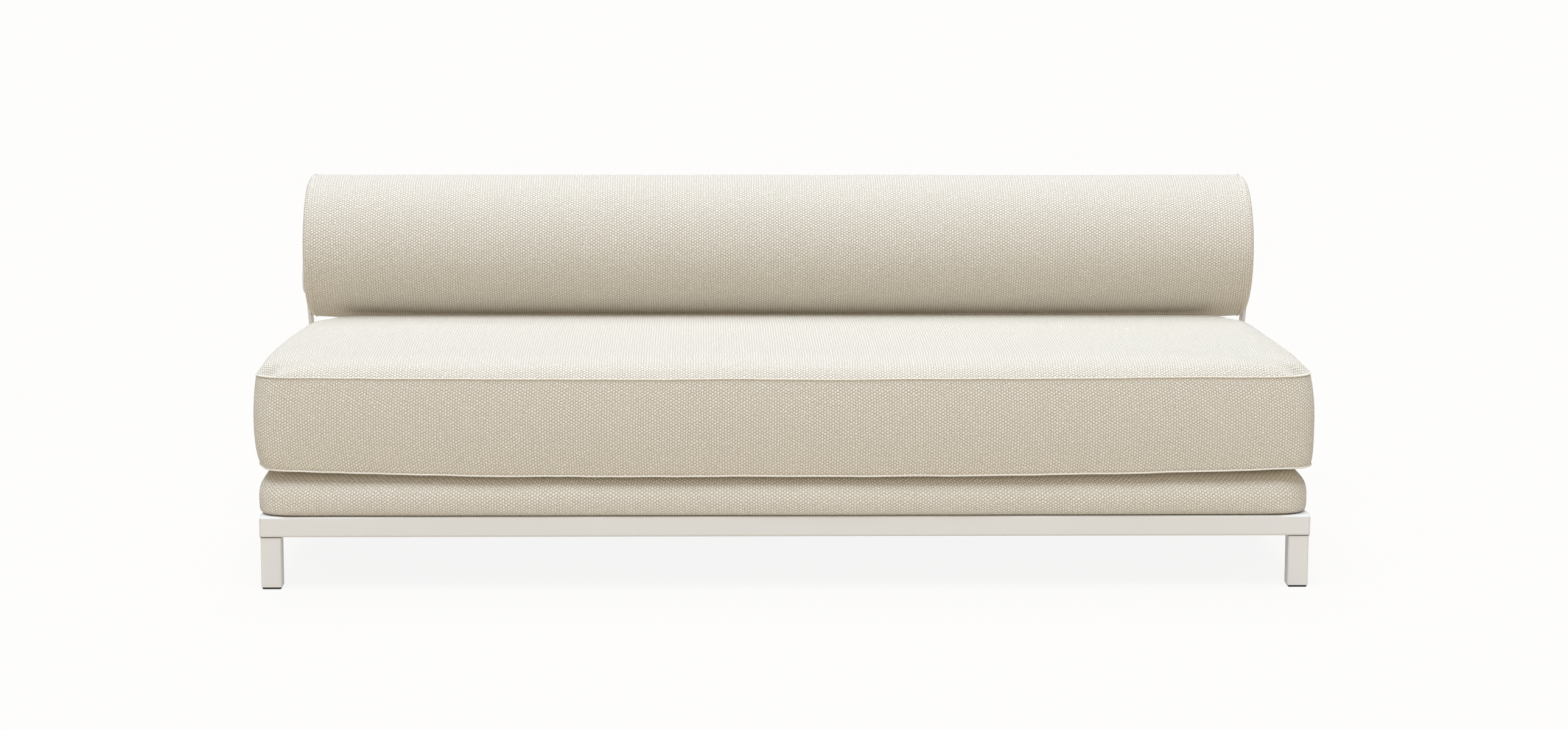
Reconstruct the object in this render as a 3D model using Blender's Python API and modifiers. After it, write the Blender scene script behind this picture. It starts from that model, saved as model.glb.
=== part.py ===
"""Sofa bed: a steel frame on four legs, a sprung slat base, a lower mattress, a thick seat
cushion that folds forward to lie beside it, and a round bolster that lifts off two arms.

Metres, +Z up, the front of the sofa faces -Y, origin on the floor under the middle.
"""
import math

import bmesh
import bpy

# Clearance between pieces that touch
GAP = 0.0003

# Frame of square tube
FRAME_WIDTH = 2.020
TUBE_SIDE = 0.040
TUBE_WALL = 0.002
TUBE_CORNER = 0.004
BEAM_WIDTH = 0.030
BEAM_HEIGHT = 0.030
CAP_FLANGE = 0.002
CAP_PLUG = 0.012

# Legs, glides and bolts
LEG_HEIGHT = 0.102
LEG_SIDE = 0.040
LEG_INSET = 0.0015
LEG_PLATE = 0.004
GLIDE_THICKNESS = 0.004
GLIDE_CHAMFER = 0.0015
GLIDE_PLUG = 0.014
BOLT_RADIUS = 0.004
BOLT_HEAD_RADIUS = 0.0065
BOLT_HEAD_HEIGHT = 0.005
BOLT_GRIP = 0.010

# Sprung slats and the ledges that carry them
SLATS_PER_SIDE = 6
SLAT_WIDTH = 0.063
SLAT_THICKNESS = 0.010
SLAT_CAMBER = 0.006
SLAT_END_PLAY = 0.002
LEDGE_FLANGE = 0.025
LEDGE_HEIGHT = 0.020
LEDGE_THICKNESS = 0.0025
LEDGE_END_PLAY = 0.004

# Lower mattress
MATTRESS_DEPTH = 0.755
MATTRESS_THICKNESS = 0.081
MATTRESS_OVERHANG = 0.004
MATTRESS_SIDE_OVERHANG = 0.003
MATTRESS_NOSE = 0.026
MATTRESS_CORNER = 0.055

# Seat cushion and the tape that hinges it to the mattress
SEAT_SIDE_OVERHANG = 0.013
SEAT_REAR_STEP = 0.061
SEAT_BOXING = 0.178
SEAT_CROWN = 0.0305
SEAT_CROWN_RUN = 0.065
SEAT_EDGE_LIFT = 0.008
SEAT_UNDER_RUN = 0.045
SEAT_BULGE = 0.008
SEAT_DRAW_IN = 0.005
SEAT_FRONT_CORNER = 0.050
SEAT_REAR_CORNER = 0.100
SEAT_OVERHANG = 0.010
FOLD_CLEARANCE = 0.0015
TAPE_END_INSET = 0.083
TAPE_WIDTH = 0.030
TAPE_THICKNESS = 0.0012
TAPE_SETBACK = 0.060

# Bolster, its inner frame and the pins it hangs on
BOLSTER_END_INSET = 0.025
BOLSTER_RADIUS = 0.150
BOLSTER_SINK = 0.0236
BOLSTER_SHOULDER = 0.014
BOLSTER_DRAW_IN = 0.003
END_PADDING = 0.006
SIDE_PADDING = 0.020
BOARD_THICKNESS = 0.015
CORE_RADIUS = 0.030
CORE_WALL = 0.003
PIN_DROP = 0.064
STUD_RADIUS = 0.006
DISC_RADIUS = 0.038
DISC_THICKNESS = 0.006
DISC_ROUND = 0.002
KEY_WIDTH = 0.014
KEY_HEIGHT = 0.026
WASHER_RADIUS = 0.016
WASHER_THICKNESS = 0.0024

# Flat arms that carry the bolster
ARM_WIDTH = 0.046
ARM_THICKNESS = 0.006
ARM_FRONT_PLAY = 0.018
ARM_REAR_PLAY = 0.005
ARM_CORNER = 0.009
ARM_TOP_RISE = 0.020
ARM_FOOT_LIFT = 0.003
ARM_BEND_LOW = 0.012
ARM_BEND_HIGH = 0.040
ARM_BOLT_SPACING = 0.024

# Heights and places worked out from the sizes above
RAIL_TOP = LEG_HEIGHT + TUBE_SIDE
RAIL_MIDDLE = LEG_HEIGHT + TUBE_SIDE / 2
MATTRESS_WIDTH = FRAME_WIDTH + 2 * MATTRESS_SIDE_OVERHANG
MATTRESS_REACH = MATTRESS_DEPTH - MATTRESS_OVERHANG
MATTRESS_TOP = RAIL_TOP + GAP + MATTRESS_THICKNESS
SEAT_WIDTH = FRAME_WIDTH + 2 * SEAT_SIDE_OVERHANG
SEAT_DEPTH = SEAT_OVERHANG + MATTRESS_REACH - SEAT_REAR_STEP
SEAT_BOTTOM = MATTRESS_TOP + GAP + TAPE_THICKNESS + GAP
SEAT_TOP = SEAT_BOTTOM + SEAT_EDGE_LIFT + SEAT_BOXING + SEAT_CROWN
BOLSTER_LENGTH = FRAME_WIDTH - 2 * BOLSTER_END_INSET
BOLSTER_HEIGHT = SEAT_TOP - BOLSTER_SINK + BOLSTER_RADIUS
BOLSTER_SETBACK = MATTRESS_REACH + ARM_FRONT_PLAY + ARM_WIDTH / 2
BOARD_RADIUS = BOLSTER_RADIUS - SIDE_PADDING
FRAME_DEPTH = BOLSTER_SETBACK + ARM_WIDTH / 2 + ARM_REAR_PLAY + TUBE_SIDE
OVERALL_DEPTH = SEAT_OVERHANG + BOLSTER_SETBACK + BOLSTER_RADIUS
FRONT_Y = SEAT_OVERHANG - OVERALL_DEPTH / 2
REAR_Y = FRONT_Y + FRAME_DEPTH
BOLSTER_Y = FRONT_Y + BOLSTER_SETBACK
PIN_HEIGHT = BOLSTER_HEIGHT - PIN_DROP
INNER_HALF = FRAME_WIDTH / 2 - TUBE_SIDE
FOLD_AXIS = (0.0, FRONT_Y - SEAT_OVERHANG - FOLD_CLEARANCE, (MATTRESS_TOP + SEAT_BOTTOM) / 2)
LIFT_ORIGIN = (0.0, BOLSTER_Y, BOLSTER_HEIGHT)
ARM_FOOT_X = INNER_HALF - GAP - ARM_THICKNESS / 2
ARM_TOP_X = BOLSTER_LENGTH / 2 + GAP + WASHER_THICKNESS + GAP + ARM_THICKNESS / 2
DISC_INNER_X = ARM_TOP_X + ARM_THICKNESS / 2 + GAP
BOARD_OUTER_X = BOLSTER_LENGTH / 2 - END_PADDING
LEDGE_TOP = RAIL_TOP - SLAT_CAMBER - SLAT_THICKNESS - GAP

# Fineness of curves
ARC_STEPS = 3
TURN_STEPS = 20
BOLT_STEPS = 16
BOLSTER_STEPS = 40
SHOULDER_STEPS = 4
SLAT_STEPS = 10
WELD = 1e-6

for leftover in list(bpy.data.objects):
    bpy.data.objects.remove(leftover, do_unlink=True)

sofa_bed = bpy.data.collections.new("sofa_bed")
bpy.context.scene.collection.children.link(sofa_bed)


def paint(name, colour, roughness, metallic=0.0):
    """A Principled material of one colour."""
    material = bpy.data.materials.new(name)
    material.use_nodes = True
    shader = material.node_tree.nodes["Principled BSDF"]
    shader.inputs["Base Color"].default_value = (*colour, 1.0)
    shader.inputs["Roughness"].default_value = roughness
    shader.inputs["Metallic"].default_value = metallic
    return material


LACQUER = paint("lacquered_steel", (0.66, 0.65, 0.62), 0.45, 0.2)
GALVANISED = paint("zinc_plated_steel", (0.55, 0.55, 0.56), 0.35, 0.9)
BLACK_PLASTIC = paint("black_plastic", (0.03, 0.03, 0.032), 0.5)
PALE_PLASTIC = paint("pale_plastic", (0.62, 0.61, 0.58), 0.5)
BIRCH = paint("birch_plywood", (0.62, 0.45, 0.27), 0.55)
CARD = paint("hard_cardboard", (0.42, 0.31, 0.20), 0.8)
CREAM_WEAVE = paint("cream_weave", (0.71, 0.65, 0.54), 0.9)
CREAM_TAPE = paint("cream_tape", (0.60, 0.55, 0.46), 0.9)


def place(name, mesh, material, location=(0.0, 0.0, 0.0), rotation=(0.0, 0.0, 0.0), parent=None):
    """One named sub-part of the sofa, at a place in the world or from its parent empty."""
    part = bpy.data.objects.new(name, mesh)
    sofa_bed.objects.link(part)
    if not mesh.materials:
        mesh.materials.append(material)
    part.location = location
    part.rotation_euler = rotation
    part.parent = parent
    return part


def pivot(name, location):
    """An empty that carries the pieces that move together."""
    empty = bpy.data.objects.new(name, None)
    sofa_bed.objects.link(empty)
    empty.location = location
    return empty


def evaluated_mesh(source):
    """The mesh of an object with its curve or modifiers worked out, welded; the object goes."""
    graph = bpy.context.evaluated_depsgraph_get()
    mesh = bpy.data.meshes.new_from_object(source.evaluated_get(graph))
    welded = bmesh.new()
    welded.from_mesh(mesh)
    bmesh.ops.remove_doubles(welded, verts=welded.verts, dist=WELD)
    bmesh.ops.recalc_face_normals(welded, faces=welded.faces)
    welded.to_mesh(mesh)
    welded.free()
    bpy.data.objects.remove(source, do_unlink=True)
    return mesh


def loose(mesh):
    """An unnamed working object for a mesh, linked so that modifiers are worked out."""
    worker = bpy.data.objects.new("worker", mesh)
    bpy.context.scene.collection.objects.link(worker)
    return worker


def combine(mesh, others, operation):
    """A mesh cut by other meshes, or joined with them."""
    worker = loose(mesh)
    workers = [loose(other) for other in others]
    for other in workers:
        boolean = worker.modifiers.new("boolean", "BOOLEAN")
        boolean.operation = operation
        boolean.object = other
    result = evaluated_mesh(worker)
    for other in workers:
        bpy.data.objects.remove(other, do_unlink=True)
    return result


def moved(mesh, x=0.0, y=0.0, z=0.0):
    """The same mesh, shifted."""
    for vertex in mesh.vertices:
        vertex.co.x += x
        vertex.co.y += y
        vertex.co.z += z
    return mesh


def facing_x(mesh):
    """The same mesh with its Z axis turned to X, its X axis to Y and its Y axis to Z."""
    for vertex in mesh.vertices:
        vertex.co = (vertex.co.z, vertex.co.x, vertex.co.y)
    return mesh


def mirrored(mesh):
    """A copy of the mesh for the other end of the sofa."""
    copy = mesh.copy()
    for vertex in copy.vertices:
        vertex.co.x = -vertex.co.x
    copy.flip_normals()
    return copy


def rounded_rectangle(width, height, radius):
    """Points, anticlockwise, of a rectangle on the origin with round corners."""
    points = []
    corners = ((1, 1, 0.0), (-1, 1, 0.5), (-1, -1, 1.0), (1, -1, 1.5))
    for side_x, side_y, start in corners:
        for step in range(ARC_STEPS + 1):
            angle = math.pi * (start + step / ARC_STEPS / 2)
            x = side_x * (width / 2 - radius) + radius * math.cos(angle)
            y = side_y * (height / 2 - radius) + radius * math.sin(angle)
            points.append((x, y))
    return points


def extruded(outlines, thickness):
    """A flat outline, with any holes, given a thickness along Z about the origin."""
    curve = bpy.data.curves.new("outline", "CURVE")
    curve.dimensions = "2D"
    curve.fill_mode = "BOTH"
    curve.extrude = thickness / 2
    for outline in outlines:
        spline = curve.splines.new("POLY")
        spline.points.add(len(outline) - 1)
        spline.use_cyclic_u = True
        for point, (x, y) in zip(spline.points, outline):
            point.co = (x, y, 0.0, 1.0)
    return evaluated_mesh(loose(curve))


def turned(profile, steps=TURN_STEPS):
    """A profile of (radius, height) points, top to bottom, turned about Z."""
    mesh = bpy.data.meshes.new("profile")
    points = [(radius, 0.0, height) for radius, height in profile]
    mesh.from_pydata(points, [(i, i + 1) for i in range(len(points) - 1)], [])
    worker = loose(mesh)
    screw = worker.modifiers.new("screw", "SCREW")
    screw.steps = steps
    screw.render_steps = steps
    screw.use_merge_vertices = True
    screw.merge_threshold = WELD
    return evaluated_mesh(worker)


def cylinder(radius, low, high, steps=TURN_STEPS):
    """A round bar along Z."""
    return turned([(0.0, high), (radius, high), (radius, low), (0.0, low)], steps)


def stacked(levels, through=False):
    """A solid through rounded sections: each level is (height, width, depth, corner radius).

    With a way through it the last section joins the first again, and no end is filled.
    """
    bm = bmesh.new()
    rings = []
    for height, width, depth, corner in levels:
        outline = rounded_rectangle(width, depth, corner)
        rings.append([bm.verts.new((x, y, height)) for x, y in outline])
    if through:
        rings.append(rings[0])
    else:
        bm.faces.new(rings[0])
        bm.faces.new(rings[-1])
    for lower, upper in zip(rings, rings[1:]):
        for i in range(len(lower)):
            bm.faces.new((lower[i - 1], lower[i], upper[i], upper[i - 1]))
    bmesh.ops.recalc_face_normals(bm, faces=bm.faces)
    mesh = bpy.data.meshes.new("stack")
    bm.to_mesh(mesh)
    bm.free()
    return mesh


def square_tube(width, depth, length):
    """An open-ended square tube along Z with a real wall."""
    bore_width, bore_depth = width - 2 * TUBE_WALL, depth - 2 * TUBE_WALL
    bore_corner = max(TUBE_CORNER - TUBE_WALL, TUBE_CORNER / 4)
    levels = (
        (-length / 2, width, depth, TUBE_CORNER),
        (length / 2, width, depth, TUBE_CORNER),
        (length / 2, bore_width, bore_depth, bore_corner),
        (-length / 2, bore_width, bore_depth, bore_corner),
    )
    return stacked(levels, through=True)


def bolt_mesh(grip):
    """A bolt along Z: its head stands below the origin and its shank above."""
    shank = grip + BOLT_GRIP
    profile = [(0.0, shank), (BOLT_RADIUS, shank), (BOLT_RADIUS, 0.0), (BOLT_HEAD_RADIUS, 0.0)]
    profile += [(BOLT_HEAD_RADIUS, -BOLT_HEAD_HEIGHT), (0.0, -BOLT_HEAD_HEIGHT)]
    return turned(profile, BOLT_STEPS)


def soft_block(counts, shape):
    """A cube cut into a grid, closer near its edges, with each point set by a shape."""
    bm = bmesh.new()
    bmesh.ops.create_cube(bm, size=2.0)
    for axis, count in enumerate(counts):
        along = [e for e in bm.edges if abs(e.verts[0].co[axis] - e.verts[1].co[axis]) > 1.0]
        bmesh.ops.subdivide_edges(bm, edges=along, cuts=count - 1, use_grid_fill=True)
    for vertex in bm.verts:
        u, v, w = vertex.co
        vertex.co = shape(math.sin(u * math.pi / 2), math.sin(v * math.pi / 2), w)
    mesh = bpy.data.meshes.new("soft_block")
    bm.to_mesh(mesh)
    bm.free()
    mesh.shade_smooth()
    mesh.set_sharp_from_angle(angle=math.radians(50))
    return mesh


def plan_point(u, v, half_x, half_y, front_corner, rear_corner):
    """A point of a plan with round corners, from its place in a square of -1 to 1."""
    ring = max(abs(u), abs(v))
    if ring == 0.0:
        return 0.0, 0.0
    radius = front_corner if v < 0 else rear_corner
    edge_x, edge_y = u / ring * half_x, v / ring * half_y
    past_x = max(abs(edge_x) - (half_x - radius), 0.0)
    past_y = max(abs(edge_y) - (half_y - radius), 0.0)
    reach = math.hypot(past_x, past_y)
    pull = 0.0
    if past_x > 0.0 and past_y > 0.0:
        pull = (1.0 - radius / reach) * ring**4
    x = u * half_x - math.copysign(past_x, u) * pull
    y = v * half_y - math.copysign(past_y, v) * pull
    return x, y


# Front and rear rails, with holes for the leg bolts, and a cap in each open end
rail_length = FRAME_WIDTH - 2 * (CAP_FLANGE + GAP)
leg_x = FRAME_WIDTH / 2 - LEG_INSET - LEG_SIDE / 2
leg_front_y = FRONT_Y + LEG_INSET + LEG_SIDE / 2
leg_rear_y = REAR_Y - LEG_INSET - LEG_SIDE / 2
cap_bore = TUBE_SIDE - 2 * TUBE_WALL
cap_levels = (
    (-CAP_PLUG, cap_bore - 4 * GAP, TUBE_CORNER / 2),
    (-GAP, cap_bore - 2 * GAP, TUBE_CORNER / 2),
    (0.0, TUBE_SIDE, TUBE_CORNER),
    (CAP_FLANGE, TUBE_SIDE, TUBE_CORNER),
)
cap_mesh = stacked([(height, side, side, corner) for height, side, corner in cap_levels])
cap_mesh = facing_x(cap_mesh)
for depth_name, rail_y, leg_y in (
    ("front", FRONT_Y + TUBE_SIDE / 2, leg_front_y),
    ("rear", REAR_Y - TUBE_SIDE / 2, leg_rear_y),
):
    bolt_holes = [
        moved(cylinder(BOLT_RADIUS + GAP, -TUBE_SIDE, -TUBE_SIDE / 4), side * leg_x, leg_y - rail_y)
        for side in (-1, 1)
    ]
    rail = combine(facing_x(square_tube(TUBE_SIDE, TUBE_SIDE, rail_length)), bolt_holes, "DIFFERENCE")
    place(f"{depth_name}_rail", rail, LACQUER, (0.0, rail_y, RAIL_MIDDLE))
    for side, side_name, mesh in ((-1, "left", mirrored(cap_mesh)), (1, "right", cap_mesh)):
        cap_x = side * (rail_length / 2 + GAP)
        place(f"rail_cap_{depth_name}_{side_name}", mesh, PALE_PLASTIC, (cap_x, rail_y, RAIL_MIDDLE))

# Side rails between them, drilled on the inner face for the arm bolts
side_length = FRAME_DEPTH - 2 * (TUBE_SIDE + GAP)
side_middle_y = (FRONT_Y + REAR_Y) / 2
for side, side_name in ((-1, "left"), (1, "right")):
    rail = square_tube(TUBE_SIDE, TUBE_SIDE, side_length)
    for vertex in rail.vertices:
        vertex.co = (vertex.co.x, vertex.co.z, vertex.co.y)
    rail.flip_normals()
    holes = []
    for step in (-0.5, 0.5):
        hole = facing_x(cylinder(BOLT_RADIUS + GAP, TUBE_SIDE / 4, TUBE_SIDE))
        hole = moved(hole, y=BOLSTER_Y + step * ARM_BOLT_SPACING - side_middle_y)
        holes.append(hole if side < 0 else mirrored(hole))
    rail = combine(rail, holes, "DIFFERENCE")
    rail_x = side * (FRAME_WIDTH - TUBE_SIDE) / 2
    place(f"side_rail_{side_name}", rail, LACQUER, (rail_x, side_middle_y, RAIL_MIDDLE))

# Centre beam from the front rail to the rear rail, level with their undersides
beam_mesh = square_tube(BEAM_WIDTH, BEAM_HEIGHT, side_length)
beam_height = LEG_HEIGHT + BEAM_HEIGHT / 2
place("centre_beam", beam_mesh, LACQUER, (0.0, side_middle_y, beam_height), (math.pi / 2, 0.0, 0.0))

# Legs: square tube under a welded top plate, closed below by a glide, bolted up into the rail
leg_length = LEG_HEIGHT - GAP - GLIDE_THICKNESS - GAP
leg_bore = LEG_SIDE - 2 * TUBE_WALL
bore_corner = TUBE_CORNER / 2
leg_levels = ((-leg_length, LEG_SIDE, LEG_SIDE, TUBE_CORNER), (0.0, LEG_SIDE, LEG_SIDE, TUBE_CORNER))
leg_mesh = stacked(leg_levels)
hollow_levels = ((-2 * leg_length, leg_bore, leg_bore, bore_corner), (-LEG_PLATE, leg_bore, leg_bore, bore_corner))
leg_hollow = stacked(hollow_levels)
leg_drill = cylinder(BOLT_RADIUS + GAP, -2 * LEG_PLATE, LEG_PLATE)
leg_mesh = combine(leg_mesh, [leg_hollow, leg_drill], "DIFFERENCE")
glide_levels = (
    (0.0, LEG_SIDE - 4 * GLIDE_CHAMFER, TUBE_CORNER / 2),
    (GLIDE_CHAMFER, LEG_SIDE - 2 * GLIDE_CHAMFER, TUBE_CORNER),
    (GLIDE_THICKNESS, LEG_SIDE - 2 * GLIDE_CHAMFER, TUBE_CORNER),
    (GLIDE_THICKNESS + GAP, leg_bore - 2 * GAP, TUBE_CORNER / 2),
    (GLIDE_THICKNESS + GLIDE_PLUG, leg_bore - 4 * GAP, TUBE_CORNER / 2),
)
glide_mesh = stacked([(height, side, side, corner) for height, side, corner in glide_levels])
leg_bolt_mesh = bolt_mesh(LEG_PLATE + 2 * GAP + TUBE_WALL)
leg_top = LEG_HEIGHT - GAP
for depth_name, leg_y in (("front", leg_front_y), ("rear", leg_rear_y)):
    for side, side_name in ((-1, "left"), (1, "right")):
        corner = f"{depth_name}_{side_name}"
        place(f"leg_{corner}", leg_mesh, LACQUER, (side * leg_x, leg_y, leg_top))
        place(f"leg_glide_{corner}", glide_mesh, BLACK_PLASTIC, (side * leg_x, leg_y, 0.0))
        bolt_place = (side * leg_x, leg_y, leg_top - LEG_PLATE - GAP)
        place(f"leg_bolt_{corner}", leg_bolt_mesh, GALVANISED, bolt_place)

# Angle ledges on the inner faces of the front and rear rails
ledge_start = BEAM_WIDTH / 2 + GAP
ledge_end = INNER_HALF - ARM_THICKNESS - 2 * GAP - BOLT_HEAD_HEIGHT - LEDGE_END_PLAY
ledge_length = ledge_end - ledge_start
ledge_outline = (
    (0.0, 0.0),
    (0.0, -LEDGE_HEIGHT),
    (LEDGE_THICKNESS, -LEDGE_HEIGHT),
    (LEDGE_THICKNESS, -LEDGE_THICKNESS),
    (LEDGE_FLANGE, -LEDGE_THICKNESS),
    (LEDGE_FLANGE, 0.0),
)
ledge_middle = (ledge_start + ledge_end) / 2
for depth_name, turn, ledge_y in (
    ("front", 0.0, FRONT_Y + TUBE_SIDE + GAP),
    ("rear", math.pi, REAR_Y - TUBE_SIDE - GAP),
):
    for side, side_name in ((-1, "left"), (1, "right")):
        ledge_mesh = facing_x(extruded([ledge_outline], ledge_length))
        ledge_place = (side * ledge_middle, ledge_y, LEDGE_TOP)
        place(f"slat_ledge_{depth_name}_{side_name}", ledge_mesh, LACQUER, ledge_place, (0.0, 0.0, turn))

# Bowed slats across the ledges
slat_length = side_length - 2 * SLAT_END_PLAY
slat_upper = []
slat_lower = []
for step in range(SLAT_STEPS + 1):
    along = 2 * step / SLAT_STEPS - 1
    rise = SLAT_CAMBER * (1 - along**2)
    slat_lower.append((along * slat_length / 2, rise))
    slat_upper.append((along * slat_length / 2, rise + SLAT_THICKNESS))
slat_mesh = facing_x(extruded([slat_lower + slat_upper[::-1]], SLAT_WIDTH))
slat_pitch = ledge_length / SLATS_PER_SIDE
slat_x = [ledge_start + (i + 0.5) * slat_pitch for i in range(SLATS_PER_SIDE)]
slat_x = [-x for x in reversed(slat_x)] + slat_x
for number, x in enumerate(slat_x, start=1):
    place(f"slat_{number:02d}", slat_mesh, BIRCH, (x, side_middle_y, LEDGE_TOP + GAP))

# Flat arms: bolted inside the side rails, leaning out to the bolster, slotted at the top
arm_low = LEG_HEIGHT + ARM_FOOT_LIFT
arm_high = PIN_HEIGHT + ARM_TOP_RISE
arm_height = arm_high - arm_low
slot_half = KEY_WIDTH / 2 + GAP
slot_low = PIN_HEIGHT - KEY_HEIGHT / 2 - GAP
arm_outline = rounded_rectangle(ARM_WIDTH, arm_height, ARM_CORNER)
slot_high = arm_high + KEY_HEIGHT
arm_middle = (arm_low + arm_high) / 2
slot_outline = rounded_rectangle(2 * slot_half, slot_high - slot_low, KEY_WIDTH / 8)
slot_cut = moved(extruded([slot_outline], 2 * ARM_THICKNESS), y=(slot_high + slot_low) / 2 - arm_middle)
arm_drills = [slot_cut]
for step in (-0.5, 0.5):
    drill = cylinder(BOLT_RADIUS + GAP, -ARM_THICKNESS, ARM_THICKNESS, BOLT_STEPS)
    arm_drills.append(moved(drill, step * ARM_BOLT_SPACING, RAIL_MIDDLE - arm_middle))
arm_flat = combine(extruded([arm_outline], ARM_THICKNESS), arm_drills, "DIFFERENCE")
arm_flat = moved(facing_x(arm_flat), z=arm_middle)
lean_low = RAIL_TOP + ARM_BEND_LOW
lean_high = PIN_HEIGHT - ARM_BEND_HIGH
bent = bmesh.new()
bent.from_mesh(arm_flat)
for height in (lean_low, lean_high):
    every_part = bent.verts[:] + bent.edges[:] + bent.faces[:]
    bmesh.ops.bisect_plane(bent, geom=every_part, plane_co=(0.0, 0.0, height), plane_no=(0.0, 0.0, 1.0))
for vertex in bent.verts:
    share = (vertex.co.z - lean_low) / (lean_high - lean_low)
    vertex.co.x += (ARM_TOP_X - ARM_FOOT_X) * min(max(share, 0.0), 1.0)
arm_mesh = bpy.data.meshes.new("arm")
bent.to_mesh(arm_mesh)
bent.free()
arm_bolt_mesh = facing_x(bolt_mesh(ARM_THICKNESS + 2 * GAP + TUBE_WALL))
arm_bolt_x = ARM_FOOT_X - ARM_THICKNESS / 2 - GAP
for side, side_name in ((-1, "left"), (1, "right")):
    mesh = arm_mesh if side > 0 else mirrored(arm_mesh)
    place(f"back_arm_{side_name}", mesh, LACQUER, (side * ARM_FOOT_X, BOLSTER_Y, 0.0))
    for step, end_name in ((-0.5, "front"), (0.5, "rear")):
        mesh = arm_bolt_mesh if side > 0 else mirrored(arm_bolt_mesh)
        bolt_place = (side * arm_bolt_x, BOLSTER_Y + step * ARM_BOLT_SPACING, RAIL_MIDDLE)
        place(f"arm_bolt_{side_name}_{end_name}", mesh, GALVANISED, bolt_place)


# Lower mattress: flat faces between bull-nosed edges
def mattress_point(u, v, w):
    """A point of the mattress, whose sides swell out to a round nose."""
    angle = w * math.pi / 2
    inset = MATTRESS_NOSE * (1 - math.cos(angle))
    half_x = MATTRESS_WIDTH / 2 - inset
    half_y = MATTRESS_DEPTH / 2 - inset
    corner = MATTRESS_CORNER - inset
    x, y = plan_point(u, v, half_x, half_y, corner, corner)
    return x, y, MATTRESS_THICKNESS / 2 * math.sin(angle)


mattress_y = FRONT_Y - MATTRESS_OVERHANG + MATTRESS_DEPTH / 2
mattress_z = RAIL_TOP + GAP + MATTRESS_THICKNESS / 2
mattress_mesh = soft_block((24, 12, 6), mattress_point)
place("lower_mattress", mattress_mesh, CREAM_WEAVE, (0.0, mattress_y, mattress_z))

# Tape sewn along the crease that hinges the seat cushion to the mattress
tape_length = MATTRESS_WIDTH - 2 * TAPE_END_INSET
tape_mesh = extruded([rounded_rectangle(tape_length, TAPE_WIDTH, TAPE_WIDTH / 8)], TAPE_THICKNESS)
tape_place = (0.0, FRONT_Y + TAPE_SETBACK, MATTRESS_TOP + GAP + TAPE_THICKNESS / 2)
place("fold_hinge_tape", tape_mesh, CREAM_TAPE, tape_place)


# Seat cushion: a boxed cushion with crowned faces, drawn-in sides and soft corners
def swell(edge_x, edge_y, run):
    """Share of a face's rise that is reached at distances in from its seams."""
    share_x = max(1.0 - edge_x / run, 0.0)
    share_y = max(1.0 - edge_y / run, 0.0)
    return (1.0 - share_x**2.2) * (1.0 - share_y**2.2)


def seat_point(u, v, w):
    """A point of the seat cushion: its underside lies on Z = 0."""
    inset = SEAT_BULGE * w * w
    half_x = SEAT_WIDTH / 2 - inset
    half_y = SEAT_DEPTH / 2 - inset
    x, y = plan_point(u, v, half_x, half_y, SEAT_FRONT_CORNER, SEAT_REAR_CORNER)
    if abs(u) == 1.0:
        x -= u * SEAT_DRAW_IN * (1 - v * v)
    if abs(v) == 1.0:
        y -= v * SEAT_DRAW_IN * (1 - u * u)
    edge_x = half_x * (1 - abs(u))
    edge_y = half_y * (1 - abs(v))
    z = SEAT_EDGE_LIFT + SEAT_BOXING * (w + 1) / 2
    if w == 1.0:
        z += SEAT_CROWN * swell(edge_x, edge_y, SEAT_CROWN_RUN)
    if w == -1.0:
        z -= SEAT_EDGE_LIFT * swell(edge_x, edge_y, SEAT_UNDER_RUN)
    return x, y, z


seat_fold = pivot("seat_fold_axis", FOLD_AXIS)
seat_y = FRONT_Y - SEAT_OVERHANG + SEAT_DEPTH / 2
seat_mesh = soft_block((24, 14, 4), seat_point)
seat_place = (0.0, seat_y - FOLD_AXIS[1], SEAT_BOTTOM - FOLD_AXIS[2])
place("seat_cushion", seat_mesh, CREAM_WEAVE, seat_place, parent=seat_fold)

# Bolster: a padded roll round a core tube and two end boards, hollowed for them
bolster_lift = pivot("bolster_lift_axis", LIFT_ORIGIN)
bolster_half = BOLSTER_LENGTH / 2
shoulder_x = bolster_half - BOLSTER_SHOULDER
roll_profile = [(0.0, bolster_half)]
end_radius = BOLSTER_RADIUS - BOLSTER_DRAW_IN - BOLSTER_SHOULDER
for step in range(SHOULDER_STEPS + 1):
    angle = math.pi / 2 * (1 - step / SHOULDER_STEPS)
    radius = end_radius + BOLSTER_SHOULDER * math.cos(angle)
    roll_profile.append((radius, shoulder_x + BOLSTER_SHOULDER * math.sin(angle)))
for share in (0.85, 0.5):
    radius = BOLSTER_RADIUS - BOLSTER_DRAW_IN * share**4
    roll_profile.append((radius, shoulder_x * share))
roll_profile += [(radius, -height) for radius, height in reversed(roll_profile)]
board_inner_x = BOARD_OUTER_X - BOARD_THICKNESS
hollow_profile = [
    (0.0, BOARD_OUTER_X + GAP),
    (BOARD_RADIUS + GAP, BOARD_OUTER_X + GAP),
    (BOARD_RADIUS + GAP, board_inner_x - GAP),
    (CORE_RADIUS + GAP, board_inner_x - GAP),
]
hollow_profile += [(radius, -height) for radius, height in reversed(hollow_profile)]
stud_hole = cylinder(STUD_RADIUS + 2 * GAP, BOARD_OUTER_X - BOARD_THICKNESS / 2, bolster_half + END_PADDING)
stud_hole = moved(facing_x(stud_hole), z=-PIN_DROP)
roll_cuts = [facing_x(turned(hollow_profile, BOLSTER_STEPS)), stud_hole, mirrored(stud_hole)]
roll_mesh = combine(facing_x(turned(roll_profile, BOLSTER_STEPS)), roll_cuts, "DIFFERENCE")
place("bolster_cushion", roll_mesh, CREAM_WEAVE, parent=bolster_lift)

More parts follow.
